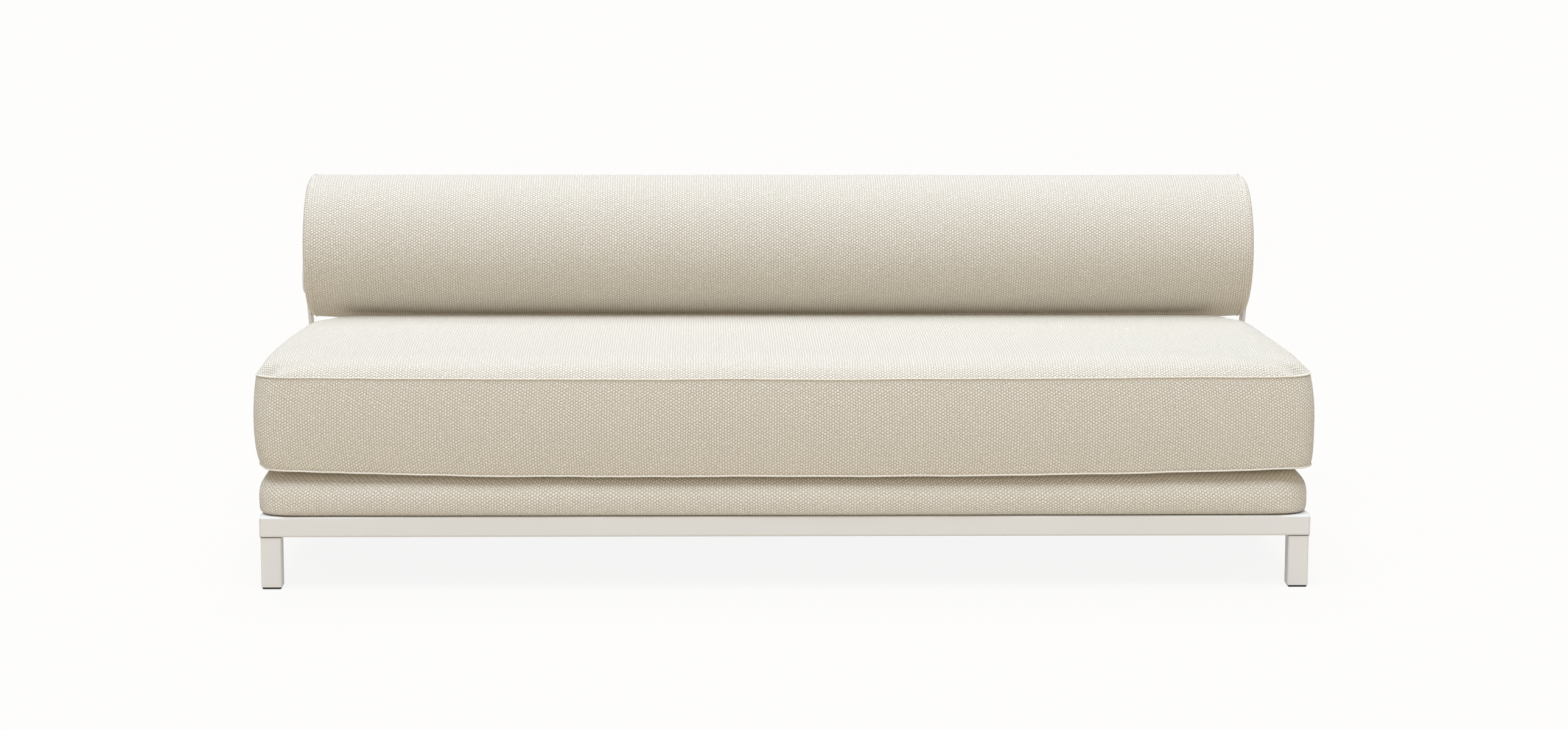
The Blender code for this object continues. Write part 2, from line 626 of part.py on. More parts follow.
core_half = board_inner_x - GAP
core_profile = [
    (CORE_RADIUS - CORE_WALL, core_half),
    (CORE_RADIUS, core_half),
    (CORE_RADIUS, -core_half),
    (CORE_RADIUS - CORE_WALL, -core_half),
    (CORE_RADIUS - CORE_WALL, core_half),
]
place("bolster_core", facing_x(turned(core_profile)), CARD, parent=bolster_lift)

board_drill = moved(cylinder(STUD_RADIUS + GAP, -BOARD_THICKNESS, BOARD_THICKNESS), y=-PIN_DROP)
board_disc = cylinder(BOARD_RADIUS, -BOARD_THICKNESS / 2, BOARD_THICKNESS / 2, BOLSTER_STEPS)
board_mesh = facing_x(combine(board_disc, [board_drill], "DIFFERENCE"))
washer_profile = [
    (STUD_RADIUS + GAP, WASHER_THICKNESS),
    (WASHER_RADIUS, WASHER_THICKNESS),
    (WASHER_RADIUS, 0.0),
    (STUD_RADIUS + GAP, 0.0),
    (STUD_RADIUS + GAP, WASHER_THICKNESS),
]
washer_mesh = facing_x(turned(washer_profile))

# Pins: a round disc outside the arm, a flat key in its slot and a stud into the end board
disc_outer = DISC_INNER_X + DISC_THICKNESS
disc_profile = [(0.0, disc_outer), (DISC_RADIUS - DISC_ROUND, disc_outer)]
disc_profile += [(DISC_RADIUS, disc_outer - DISC_ROUND), (DISC_RADIUS, DISC_INNER_X), (0.0, DISC_INNER_X)]
key_inner = ARM_TOP_X - ARM_THICKNESS / 2
key_outer = DISC_INNER_X + DISC_THICKNESS / 2
key_mesh = extruded([rounded_rectangle(KEY_WIDTH, KEY_HEIGHT, KEY_WIDTH / 8)], key_outer - key_inner)
key_mesh = moved(facing_x(key_mesh), x=(key_inner + key_outer) / 2)
stud_mesh = facing_x(cylinder(STUD_RADIUS, board_inner_x + GAP, key_outer))
pin_mesh = combine(facing_x(turned(disc_profile, BOLSTER_STEPS)), [key_mesh, stud_mesh], "UNION")
for side, side_name in ((-1, "left"), (1, "right")):
    board_x = side * (BOARD_OUTER_X - BOARD_THICKNESS / 2)
    place(f"bolster_end_board_{side_name}", board_mesh, BIRCH, (board_x, 0.0, 0.0), parent=bolster_lift)
    washer = washer_mesh if side > 0 else mirrored(washer_mesh)
    washer_place = (side * (bolster_half + GAP), 0.0, -PIN_DROP)
    place(f"pin_washer_{side_name}", washer, PALE_PLASTIC, washer_place, parent=bolster_lift)
    pin = pin_mesh if side > 0 else mirrored(pin_mesh)
    place(f"hanging_pin_{side_name}", pin, LACQUER, (0.0, 0.0, -PIN_DROP), parent=bolster_lift)
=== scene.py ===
import math

import bmesh
import bpy
from mathutils import Matrix, Vector, noise


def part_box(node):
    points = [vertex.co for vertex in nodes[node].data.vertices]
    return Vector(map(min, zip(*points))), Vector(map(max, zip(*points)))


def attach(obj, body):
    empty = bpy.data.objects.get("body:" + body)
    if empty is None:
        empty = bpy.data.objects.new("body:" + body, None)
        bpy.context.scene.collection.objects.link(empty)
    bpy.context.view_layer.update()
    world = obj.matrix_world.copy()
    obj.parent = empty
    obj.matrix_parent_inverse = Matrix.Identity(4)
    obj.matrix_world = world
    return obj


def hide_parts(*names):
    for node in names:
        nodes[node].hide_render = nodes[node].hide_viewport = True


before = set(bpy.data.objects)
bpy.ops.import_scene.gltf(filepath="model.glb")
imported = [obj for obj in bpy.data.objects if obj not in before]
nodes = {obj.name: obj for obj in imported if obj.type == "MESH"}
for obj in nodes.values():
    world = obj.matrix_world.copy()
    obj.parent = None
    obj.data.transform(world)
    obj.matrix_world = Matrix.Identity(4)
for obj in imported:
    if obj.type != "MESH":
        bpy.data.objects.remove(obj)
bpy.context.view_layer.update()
scene = bpy.context.scene

# Frame: rails of square steel tube, legs, ledges, the two flat arms of the back and the pins that
# hang in them. All are cut and welded, then powder-coated in one warm off-white with a faint
# orange-peel skin.


class Shade:
    """One value in a material's nodes. Arithmetic on it adds Math nodes."""

    def __init__(self, tree, socket=None):
        self.tree = tree
        self.socket = socket

    def node(self, kind, settings=None, inputs=None, output=0):
        """Adds a node: first its settings, then a value or a link for each named or numbered input."""
        made = self.tree.nodes.new(kind)
        for name, value in (settings or {}).items():
            setattr(made, name, value)
        for name, value in (inputs or {}).items():
            if isinstance(value, Shade):
                self.tree.links.new(value.socket, made.inputs[name])
            else:
                made.inputs[name].default_value = value
        return Shade(self.tree, made.outputs[output])

    def maths(self, operation, *others):
        """A Math node's operation on this value and any others."""
        return self.node("ShaderNodeMath", {"operation": operation}, dict(enumerate((self, *others))))

    def __add__(self, other):
        return self.maths("ADD", other)

    __radd__ = __add__

    def __sub__(self, other):
        return self.maths("SUBTRACT", other)

    def __rsub__(self, other):
        return self.node("ShaderNodeMath", {"operation": "SUBTRACT"}, {0: other, 1: self})

    def __mul__(self, other):
        return self.maths("MULTIPLY", other)

    __rmul__ = __mul__

    def between(self, low, high, to_low=0.0, to_high=1.0):
        """Eases from one value to another as this one goes from low to high."""
        return self.node("ShaderNodeMapRange", {"interpolation_type": "SMOOTHSTEP"},
                         {0: self, 1: low, 2: high, 3: to_low, 4: to_high})

    def place(self, kind="Object"):
        """The coordinates of that kind."""
        return self.node("ShaderNodeTexCoord", output=kind)

    def part(self, axis):
        """One part of these coordinates: 0, 1 or 2 for X, Y or Z."""
        return self.node("ShaderNodeSeparateXYZ", None, {0: self}, axis)

    def stretched(self, x, y, z):
        """These coordinates, each times its own factor."""
        return self.node("ShaderNodeVectorMath", {"operation": "MULTIPLY"}, {0: self, 1: (x, y, z)})

    def cloud(self, scale, detail=2.0, roughness=0.5):
        """Soft noise from 0 to 1 on these coordinates, with that many blots to the metre."""
        return self.node("ShaderNodeTexNoise", None,
                         {"Vector": self, "Scale": scale, "Detail": detail, "Roughness": roughness})

    def mixed(self, first, second):
        """Two colours mixed by this value. A Mix node's sockets 6, 7 and 2 are those for colours."""
        return self.node("ShaderNodeMix", {"data_type": "RGBA"}, {0: self, 6: first, 7: second}, 2)


def new_finish(name, **sockets):
    """A material, with the shader's own sockets set, and a shade to start its nodes from."""
    material = bpy.data.materials.new(name)
    material.use_nodes = True
    shader = material.node_tree.nodes["Principled BSDF"]
    for socket, value in sockets.items():
        shader.inputs[socket.replace("_", " ")].default_value = value
    return material, Shade(material.node_tree)


def apply_finish(material, colour, roughness, height, depth):
    """Links colour, roughness and a height map of that depth in metres to the shader."""
    tree = material.node_tree
    shader = tree.nodes["Principled BSDF"]
    bump = height.node("ShaderNodeBump", None, {"Strength": 1.0, "Distance": depth, "Height": height})
    for socket, value in (("Base Color", colour), ("Roughness", roughness), ("Normal", bump)):
        tree.links.new(value.socket, shader.inputs[socket])


def dress(material, *names):
    """Gives the named pieces of the frame that material."""
    for name in names:
        for slot in nodes[name].material_slots:
            slot.material = material


corners = [f"{end}_{side}" for end in ("front", "rear") for side in ("left", "right")]
leg_top = 0.102
scuff_foot, scuff_top = 0.002, 0.030
lacquer, start = new_finish("lacquered_steel", Specular_IOR_Level=0.45)
spot = start.place()
height = spot.part(2)
peel = spot.cloud(620.0, 1.0)
cloudy = spot.cloud(5.0, 3.0)
scuffs = spot.stretched(90.0, 90.0, 420.0).cloud(1.0, 4.0, 0.7).between(0.62, 0.72)
scuffs = scuffs * height.between(scuff_foot, scuff_top, 1.0, 0.0)
# Painted shadow: a dark line round each leg just under the rail, standing in for the shade in the gap where
# the leg meets the rail.
painted_gap_shadow = height.between(leg_top - 0.0018, leg_top - 0.0012)
painted_gap_shadow = painted_gap_shadow * height.between(leg_top - 0.0001, leg_top + 0.0003, 1.0, 0.0)
tone = cloudy.mixed((0.800, 0.793, 0.778, 1), (0.835, 0.828, 0.815, 1))
tone = (painted_gap_shadow * 0.8).mixed(tone, (0.16, 0.15, 0.14, 1))
tone = (scuffs * 0.5).mixed(tone, (0.60, 0.575, 0.53, 1))
apply_finish(lacquer, tone, 0.36 + peel * 0.10 + cloudy * 0.08 + scuffs * 0.2, peel, 0.00012)
dress(lacquer, "front_rail", "rear_rail", "side_rail_left", "side_rail_right", "centre_beam",
      "back_arm_left", "back_arm_right", "hanging_pin_left", "hanging_pin_right",
      *[f"leg_{c}" for c in corners], *[f"slat_ledge_{c}" for c in corners])

# Rail caps: moulded plastic plugs pressed into the open ends of the front and rear rails, close to
# the lacquer in colour, with the fine spark texture of the mould.

cap_plastic, start = new_finish("pale_plastic", Specular_IOR_Level=0.4)
spot = start.place()
spark = spot.cloud(2400.0, 2.0, 0.6)
tone = spot.cloud(40.0, 2.0).mixed((0.78, 0.77, 0.74, 1), (0.83, 0.82, 0.79, 1))
apply_finish(cap_plastic, tone, 0.45 + spark * 0.15, spark, 0.00008)
dress(cap_plastic, *[f"rail_cap_{c}" for c in corners])

# Glides: black plastic feet pressed up into the legs, scratched grey on the edge that meets the
# floor.

rubbed_top = 0.003
glide_plastic, start = new_finish("black_plastic", Specular_IOR_Level=0.4)
spot = start.place()
grain = spot.cloud(1800.0, 2.0, 0.6)
rubbed = spot.stretched(300.0, 300.0, 900.0).cloud(1.0, 3.0, 0.7).between(0.5, 0.7)
rubbed = rubbed * spot.part(2).between(0.0, rubbed_top, 1.0, 0.0)
tone = rubbed.mixed((0.030, 0.029, 0.031, 1), (0.11, 0.105, 0.10, 1))
apply_finish(glide_plastic, tone, 0.5 + grain * 0.2, grain, 0.0001)
dress(glide_plastic, *[f"leg_glide_{c}" for c in corners])

# Bolts and washers: zinc-plated steel, one bolt up through each leg plate, two through the foot of
# each arm, and a washer behind each hanging pin. The plating is spangled and a little yellow.

zinc, start = new_finish("zinc_steel", Metallic=1.0)
spot = start.place()
spangle = spot.cloud(700.0, 3.0, 0.6)
tone = spangle.mixed((0.55, 0.54, 0.50, 1), (0.74, 0.73, 0.69, 1))
apply_finish(zinc, tone, 0.28 + spangle * 0.2, spangle, 0.00006)
dress(zinc, "pin_washer_left", "pin_washer_right", *[f"leg_bolt_{c}" for c in corners],
      *[f"arm_bolt_{side}_{end}" for side in ("left", "right") for end in ("front", "rear")])

# Slats: twelve springy birch slats, pressed from thin veneers with a slight bow, sitting on the
# angle ledges inside the rails. The grain runs along each slat, and the veneers show at its edges.

slat_count = 12
slats_to_the_metre = 6.45
veneer_waves = 2600.0
birch, start = new_finish("birch", Specular_IOR_Level=0.35)
spot = start.place()
slat_number = (spot.part(0) * slats_to_the_metre).maths("FLOOR")
own_tone = start.node("ShaderNodeTexWhiteNoise", {"noise_dimensions": "1D"}, {"W": slat_number})
figure = spot.stretched(55.0, 2.2, 90.0).cloud(1.0, 5.0, 0.6)
pores = spot.stretched(1500.0, 45.0, 1500.0).cloud(1.0, 2.0, 0.6).between(0.60, 0.70)
wood = figure.between(0.35, 0.68).mixed((0.66, 0.47, 0.29, 1), (0.79, 0.62, 0.42, 1))
wood = (own_tone * 0.5).mixed(wood, (0.74, 0.56, 0.36, 1))
wood = (pores * 0.45).mixed(wood, (0.48, 0.32, 0.18, 1))
veneer = (spot.part(2) * veneer_waves).maths("SINE").between(-0.5, 0.6)
upright = start.node("ShaderNodeNewGeometry", output="Normal").part(2)
edge = 1.0 - upright.maths("ABSOLUTE").between(0.25, 0.7)
wood = (edge * veneer * 0.6).mixed(wood, (0.42, 0.28, 0.16, 1))
apply_finish(birch, wood, 0.48 + figure * 0.15, figure * 0.5 - pores * 0.5, 0.0002)
dress(birch, *[f"slat_{n:02d}" for n in range(1, slat_count + 1)])

# Lower mattress: a foam pad in a cream cover of thick dotted weave, pulled tight round bull-nosed
# edges with no seam on the front. It lies flat on the slats, and the seat cushion lies flat on it.


def cushion_grid(counts):
    """A box from -1 to 1 on each axis, cut into that many cells along X, Y and Z."""
    form = bmesh.new()
    bmesh.ops.create_cube(form, size=2.0)
    for axis, count in enumerate(counts):
        along = [e for e in form.edges if abs(e.verts[0].co[axis] - e.verts[1].co[axis]) > 1.0]
        bmesh.ops.subdivide_edges(form, edges=along, cuts=count - 1, use_grid_fill=True)
    form.verts.index_update()
    return form


def at_rim(cell):
    """Whether a point of that box is on one of its four sides."""
    return max(abs(cell.x), abs(cell.y)) > 0.999


def at_end(cell, end):
    """Whether a point of that box is on its top (end 1) or its bottom (end -1)."""
    return cell.z * end > 0.999


def plan_mark(cell):
    """Where a point is on the box's plan, the same for all points above one another."""
    return round(cell.x, 3), round(cell.y, 3)


def round_corner(x, y, half_x, half_y, radius):
    """Where a point of a square-cornered plan lies once its corners are rounded."""
    share = max(abs(x) / half_x, abs(y) / half_y)
    over_x = abs(x) - share * (half_x - radius)
    over_y = abs(y) - share * (half_y - radius)
    if over_x > 0 and over_y > 0:
        pull = max(over_x, over_y) / math.hypot(over_x, over_y)
        x = math.copysign(abs(x) - over_x * (1 - pull), x)
        y = math.copysign(abs(y) - over_y * (1 - pull), y)
    return x, y


def wave(x, y, z, size, depth):
    """A smooth unevenness of that depth in blots of that size, both in metres."""
    return depth * noise.noise(Vector((x, y, z)) / size)


def run_round(form, cells):
    """How far round the middle of a cushion's side each upright row of points is, and the whole way."""

    def bearing(vertex):
        cell = cells[vertex.index]
        return math.atan2(cell.x, cell.y) % (2 * math.pi)

    ring = [v for v in form.verts if at_rim(cells[v.index]) and abs(cells[v.index].z) < 0.001]
    ring.sort(key=bearing)
    runs, length = {}, 0.0
    for here, after in zip(ring, ring[1:] + ring[:1]):
        runs[plan_mark(cells[here.index])] = length
        length += (after.co - here.co).length
    return runs, length


def spread_flat(form, cells, end):
    """Where each point of the top (end 1) or bottom (end -1) lies once that panel is smoothed flat."""
    at = {plan_mark(c): v.co for v, c in zip(form.verts, cells) if at_end(c, end)}
    columns = sorted({x for x, y in at})
    rows = sorted({y for x, y in at})

    def along(line):
        reach = [0.0]
        for before, after in zip(line, line[1:]):
            reach.append(reach[-1] + (at[after] - at[before]).length)
        return {mark: r - reach[len(reach) // 2] for mark, r in zip(line, reach)}

    across, down = {}, {}
    for y in rows:
        across.update(along([(x, y) for x in columns]))
    for x in columns:
        down.update(along([(x, y) for y in rows]))
    return {mark: (across[mark], down[mark]) for mark in at}


def lay_weave(form, cells, girth):
    """Lays the cloth on the top and bottom panels, and in one strip of that height round the sides."""
    runs, length = run_round(form, cells)
    panels = {end: spread_flat(form, cells, end) for end in (-1, 1)}
    uv = form.loops.layers.uv.new("weave")
    for face in form.faces:
        marks = [cells[v.index] for v in face.verts]
        ends = [end for end in (-1, 1) if all(at_end(m, end) for m in marks)]
        if ends:
            for loop, m in zip(face.loops, marks):
                loop[uv].uv = panels[ends[0]][plan_mark(m)]
            continue
        along = [runs[plan_mark(m)] for m in marks]
        if max(along) - min(along) > length / 2:
            along = [a + length if a < length / 2 else a for a in along]
        for loop, a, m in zip(face.loops, along, marks):
            loop[uv].uv = (a, girth * (m.z + 1) / 2)


def new_piece(name, form, material, body):
    """Makes a piece of a bmesh, smooth-shaded, that rides on a body and takes a slot's finish."""
    for face in form.faces:
        face.smooth = True
    mesh = bpy.data.meshes.new(name)
    form.to_mesh(mesh)
    form.free()
    mesh.materials.append(material)
    piece = bpy.data.objects.new(name, mesh)
    scene.collection.objects.link(piece)
    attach(piece, body)
    return piece


def settle(piece, held, most, pressure=4.0):
    """Blows the cover up on its filling, with the held points kept, by no more than most, in metres."""
    last_frame = 20
    group = piece.vertex_groups.new(name="held")
    group.add(held, 1.0, "REPLACE")
    cloth = piece.modifiers.new("settle", "CLOTH")
    cloth.settings.quality = 5
    cloth.settings.mass = 0.3
    cloth.settings.tension_stiffness = 30.0
    cloth.settings.compression_stiffness = 30.0
    cloth.settings.shear_stiffness = 15.0
    cloth.settings.bending_stiffness = 2.0
    cloth.settings.use_pressure = True
    cloth.settings.uniform_pressure_force = pressure
    cloth.settings.vertex_group_mass = "held"
    cloth.settings.effector_weights.gravity = 0.0
    cloth.collision_settings.use_collision = False
    for number in range(1, last_frame + 1):
        scene.frame_set(number)
    blown = piece.evaluated_get(bpy.context.evaluated_depsgraph_get())
    places = [v.co.copy() for v in blown.data.vertices]
    for vertex, there in zip(piece.data.vertices, places):
        move = there - vertex.co
        vertex.co += move * min(1.0, most / max(move.length, 1e-9))
    piece.modifiers.remove(cloth)
    piece.vertex_groups.remove(group)
    scene.frame_set(1)


def soften(piece):
    """One subdivision, kept sharp along creased seams."""
    smooth = piece.modifiers.new("smooth", "SUBSURF")
    smooth.levels = 1
    smooth.render_levels = 1
    smooth.boundary_smooth = "PRESERVE_CORNERS"


# The weave: round cream dots in upright columns 5 mm apart, each column set half a dot higher than the
# last, close together on a taupe ground. The ground is painted darker than the cloth's own taupe, as
# painted shade in the joins between the knots, and each dot gets a painted highlight in its middle. The
# dots are knots of thick yarn, so they stand up and vary in tone, and no column runs quite straight.
dot_across = 0.0100
dot_along = 0.00605
slant = 0.02
drift_across, drift_along = 0.0040, 0.0044
wobble_most = 0.0028
knot_height = 0.0013
weave, start = new_finish("cream_weave", Specular_IOR_Level=0.10, Sheen_Weight=0.06,
                          Sheen_Roughness=0.5, Sheen_Tint=(0.97, 0.99, 1.0, 1))
cloth_spot = start.place("UV")
drift = cloth_spot.cloud(26.0, 1.0) - 0.5
drift_two = cloth_spot.stretched(1.0, -1.0, 1.0).cloud(31.0, 1.0) - 0.5
wobble = cloth_spot.cloud(150.0, 1.0) - 0.5
wobble_two = cloth_spot.stretched(-1.0, 1.0, 1.0).cloud(140.0, 1.0) - 0.5
across = cloth_spot.part(0) + drift * drift_across + wobble * wobble_most
along = cloth_spot.part(1) + cloth_spot.part(0) * slant + drift_two * drift_along + wobble_two * wobble_most
column = (across * (2 * math.pi / dot_across)).maths("COSINE")
row = (along * (2 * math.pi / dot_along)).maths("COSINE")
lattice_low, lattice_high = -1.5, 3.0
lattice = 2.0 * column * row + 2.0 * column * column - 1.0
knot = (lattice - lattice_low) * (1 / (lattice_high - lattice_low))
dots = knot.between(-0.03, 0.25)
# Painted highlight: the middle of each dot is lightened towards white.
painted_knot_highlight = knot.between(0.45, 1.0)
knot_tone = cloth_spot.cloud(165.0, 1.0)
fibre = cloth_spot.stretched(1.0, 1.6, 1.0).cloud(1500.0, 3.0, 0.65)
patch = cloth_spot.cloud(7.0, 3.0)
yarn = knot_tone.between(0.25, 0.75).mixed((0.850, 0.795, 0.690, 1), (0.930, 0.884, 0.790, 1))
# Painted shade: the ground between the dots is darker than the cloth's own taupe, standing in for the shade
# in the joins between the knots.
ground_and_join_shade = patch.mixed((0.330, 0.278, 0.208, 1), (0.380, 0.324, 0.248, 1))
colour = dots.mixed(ground_and_join_shade, (painted_knot_highlight * 0.60).mixed(yarn, (0.985, 0.955, 0.885, 1)))
colour = (fibre.between(0.30, 0.75) * 0.16).mixed(colour, (0.70, 0.65, 0.56, 1))
relief = knot.between(0.0, 0.85) + fibre * 0.14 + knot_tone * 0.2
apply_finish(weave, colour, 0.86 + fibre * 0.12, relief, knot_height)

low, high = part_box("lower_mattress")
mattress_half = (high - low) / 2
mattress_middle = (high + low) / 2
mattress_shift = 0.0025
mattress_corner = 0.060
mattress_nose_top = 0.042
mattress_nose_foot, mattress_nose_ends = 0.0022, 0.004
mattress_set_back = 0.007
mattress_hem_lift = 0.0018
mattress_flat_from = 0.03
mattress_swell, mattress_give = 0.0002, 0.003
mattress_girth = 0.112
form = cushion_grid((126, 46, 8))
cells = [v.co.copy() for v in form.verts]
held = []
for vertex, cell in zip(form.verts, cells):
    turned = cell.z * math.pi / 2
    nose = mattress_nose_top * (1 - math.cos(turned))
    if cell.z < 0:
        nose = (mattress_nose_foot + mattress_nose_ends * cell.x * cell.x) * abs(cell.z) ** 5
    half_x = mattress_half.x - nose
    half_y = mattress_half.y - mattress_swell - nose
    x, y = round_corner(cell.x * half_x, cell.y * half_y, half_x, half_y, mattress_corner - nose)
    z = mattress_half.z * math.sin(turned)
    if at_rim(cell):
        x += wave(x, y, 0.0, size=0.21, depth=0.0012)
        y += wave(x, y, 3.0, size=0.19, depth=0.0014)
    if at_rim(cell) and at_end(cell, -1):
        z += mattress_hem_lift
    y += mattress_set_back * (1 + cell.z) / 2 * max(0.0, -cell.y) ** 8
    vertex.co = (x - mattress_shift, mattress_middle.y + y, mattress_middle.z + z)
    inward = min(half_x - abs(x), half_y - abs(y))
    if at_end(cell, -1) or at_end(cell, 1) and inward > mattress_flat_from:
        held.append(vertex.index)
lay_weave(form, cells, mattress_girth)
mattress = new_piece("mattress_cover", form, weave, "base")
settle(mattress, held, mattress_give)
for vertex in mattress.data.vertices:
    vertex.co.z = min(max(vertex.co.z, low.z), high.z)
soften(mattress)
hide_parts("lower_mattress")

# Hinge tape: a strip of herringbone cotton tape sewn along the crease between the mattress and the
# seat cushion, so that the cushion can be turned over on to the floor in front.

tape_thickness = 0.0009
rib_waves, bone_waves, bone_turn = 5200.0, 3400.0, 12.0
tape_cotton, start = new_finish("cream_tape", Specular_IOR_Level=0.15, Sheen_Weight=0.15)
spot = start.place()
lean = (spot.part(1) * bone_waves).maths("PINGPONG", bone_turn)
bone = (spot.part(0) * rib_waves + lean).maths("SINE")
thread = spot.cloud(2600.0, 2.0)
tone = bone.between(-0.8, 0.8).mixed((0.66, 0.60, 0.50, 1), (0.83, 0.785, 0.69, 1))
apply_finish(tape_cotton, tone, 0.85 + thread * 0.1, bone * 0.5 + thread * 0.5, 0.00025)
low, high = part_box("fold_hinge_tape")
form = bmesh.new()
bmesh.ops.create_grid(form, x_segments=120, y_segments=4, size=0.5)
bmesh.ops.scale(form, vec=(high.x - low.x, high.y - low.y, 1.0), verts=form.verts)
bmesh.ops.translate(form, vec=(high + low) / 2, verts=form.verts)
tape = new_piece("hinge_tape", form, tape_cotton, "base")
thick = tape.modifiers.new("thickness", "SOLIDIFY")
thick.thickness = tape_thickness
thick.offset = 0.0
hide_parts("fold_hinge_tape")

# Seat cushion: a thick boxed foam cushion in the same weave. A strip is sewn round between the top
# and bottom panels, with a thin smooth welt in both seams, and the filling crowns the top. Its rear
# edge is pressed down and back under the roll.


def ease(share):
    """A smooth rise from 0 to 1 as the share goes from 0 to 1."""
    return share * share * (3 - 2 * share)


def at_either_end(cell):
    """Whether a point of the box is on its top or its bottom."""
    return at_end(cell, 1) or at_end(cell, -1)


low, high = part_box("seat_cushion")
seat_middle = (low + high) / 2
seat_half_x, seat_half_y = 1.0255, (high.y - low.y) / 2
seat_shift = 0.0010
seat_swell, seat_give = 0.004, 0.005
seat_girth = 0.186

# The plan: corner radii, where the corners and the outer edges begin as a share of the half width,
# how far ahead of the middle the rear begins as a share of the half depth, and the rear itself,
# which is narrower, cut in on the left and drawn out into a tail under the roll.
seat_front_corner, seat_rear_corner = 0.050, 0.100
corner_from, edge_from = 0.87, 0.93
rear_from = 0.45
rear_narrow = 0.014
rear_left_cut = 0.0150
seat_tail = 0.036

# The mesh: how much closer together its points lie at the edges.
edge_closer = 0.30

# The seams: the lower one above the mattress and the upper one above the floor, each with its rise
# to the ends, its fall at the front or rear, and what the strip between them is drawn in at both.
foot_rise, foot_ends, foot_tilt = 0.0060, 0.0066, 0.0028
foot_sag, foot_left_sag = 0.0105, 0.0065
brow_height, brow_ends = 0.4090, 0.0045
brow_corner_fall, brow_rear_rise = 0.022, 0.0225
tuck_top, tuck_top_tilt = 0.0080, 0.0015
tuck_foot, tuck_foot_tilt = 0.0050, 0.0030
tuck_hem = 0.0028
tuck_depth_share = 0.6
strip_ripple_share = 0.6

# The panels: how high the top is crowned, how far in from each seam it gets there, and the same for
# the underside, which has a soft lip beside its seam.
crown_height, crown_ends = 0.4415, 0.0030
crown_rear_fall, crown_corner_fall = 0.0095, 0.010
crown_front_run, crown_rear_run = 0.058, 0.008
crown_side_run, crown_side_tilt = 0.090, 0.015
under_run, under_ends_run = 0.030, 0.035
lip_ends, lip_middle = 0.0015, 0.0070
lip_inset, lip_width = 0.0065, 0.010

# What stops the filled cover: the roll's axis, the crease, the crown and the slope to the rear.
roll_low, roll_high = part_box("bolster_cushion")
roll_axis = (roll_low + roll_high) / 2
roll_clear = 0.1568
crease_y, crease_clear = -0.4775, 0.0010
crown_limit, crown_over = 0.4430, 0.4
slope_y, slope_height = 0.19, 0.4322
slope_ahead, slope_behind = 0.06, 0.008

form = cushion_grid((128, 44, 12))
cells = [v.co.copy() for v in form.verts]
held, top_seam, foot_seam = [], [], []
for vertex, cell in zip(form.verts, cells):
    # Where the point is, as shares of the half width and half depth, and how near it is to each part
    side = cell.x * (1 + edge_closer - edge_closer * cell.x * cell.x)
    deep = cell.y * (1 + edge_closer - edge_closer * cell.y * cell.y)
    above, below = max(0.0, cell.z), max(0.0, -cell.z)
    front, back = max(0.0, -deep) ** 12, max(0.0, deep) ** 12
    left = min(1.0, max(0.0, -2 * side - 0.2))
    rear = max(0.0, (deep + rear_from) / (1 + rear_from))
    edge_on = max(0.0, (abs(side) - edge_from) / (1 - edge_from)) ** 2
    inner = ease(1 - max(0.0, (abs(side) - corner_from) / (1 - corner_from)))
    foot = low.z + foot_rise + foot_ends * side * side - foot_tilt * side
    foot -= foot_sag * front * (1 - side * side)
    foot -= foot_left_sag * front * left
    brow = brow_height + brow_ends * side * side
    brow += brow_rear_rise * back * inner - brow_corner_fall * rear * edge_on
    tuck = (tuck_top + tuck_top_tilt * side) * above ** 2
    tuck += (tuck_foot - tuck_foot_tilt * side) * below ** 2.2 + tuck_hem * below ** 9
    half_x = seat_half_x - seat_swell - tuck - rear_narrow * rear
    half_y = seat_half_y - seat_swell - tuck_depth_share * tuck
    corner = seat_front_corner if cell.y < 0 else seat_rear_corner
    x, y = round_corner(side * half_x, deep * half_y, half_x, half_y, corner)
    x += rear_left_cut * max(0.0, deep) ** 1.4 * max(0.0, -side) ** 2 - seat_shift
    out = max(0.0, abs(x) / half_x - corner_from) / (1 - corner_from)
    y += seat_tail * max(0.0, deep) ** 4 * (1 - ease(out))
    z = foot + (brow - foot) * (cell.z + 1) / 2
    in_x = half_x - abs(side * half_x)
    in_y = half_y - abs(deep * half_y)
    if at_rim(cell):
        x += wave(x, y, 7.0, size=0.17, depth=0.0014)
        y += wave(x, y, 9.0, size=0.15, depth=0.0018)
        ripple = wave(x, y, 1.0 + cell.z, size=0.13, depth=0.0012)
        ripple += wave(x, y, 5.0 + cell.z, size=0.045, depth=0.0007)
        z += ripple if at_either_end(cell) else strip_ripple_share * ripple
    elif cell.z > 0:
        run = crown_front_run if cell.y < 0 else crown_rear_run
        short_x = max(0.0, 1 - in_x / (crown_side_run + crown_side_tilt * side)) ** 2
        short_y = max(0.0, 1 - in_y / run)
        short = min(1.0, math.hypot(short_x, short_y))
        full = crown_height + crown_ends * side * side
        full -= crown_rear_fall * rear ** 2 + crown_corner_fall * rear * edge_on
        z += (full - z) * math.sqrt(1 - short * short)
        z += wave(x, y, 2.0, size=0.26, depth=0.0014) * (1 - short)
    else:
        inward = min(in_x, in_y)
        under = min(1.0, inward / (under_run + under_ends_run * side ** 4))
        lip = lip_ends + lip_middle * (1 - side * side)
        lip *= max(0.0, 1 - abs(inward - lip_inset) / lip_width)
        z += (low.z - z) * ease(under) - lip
    vertex.co = (x, seat_middle.y + y, z)
    if at_end(cell, -1) or at_end(cell, 1) and at_rim(cell):
        held.append(vertex.index)
    if at_end(cell, 1) and at_rim(cell):
        top_seam.append(vertex.index)
    if at_end(cell, -1) and at_rim(cell):
        foot_seam.append(vertex.index)
runs, _ = run_round(form, cells)
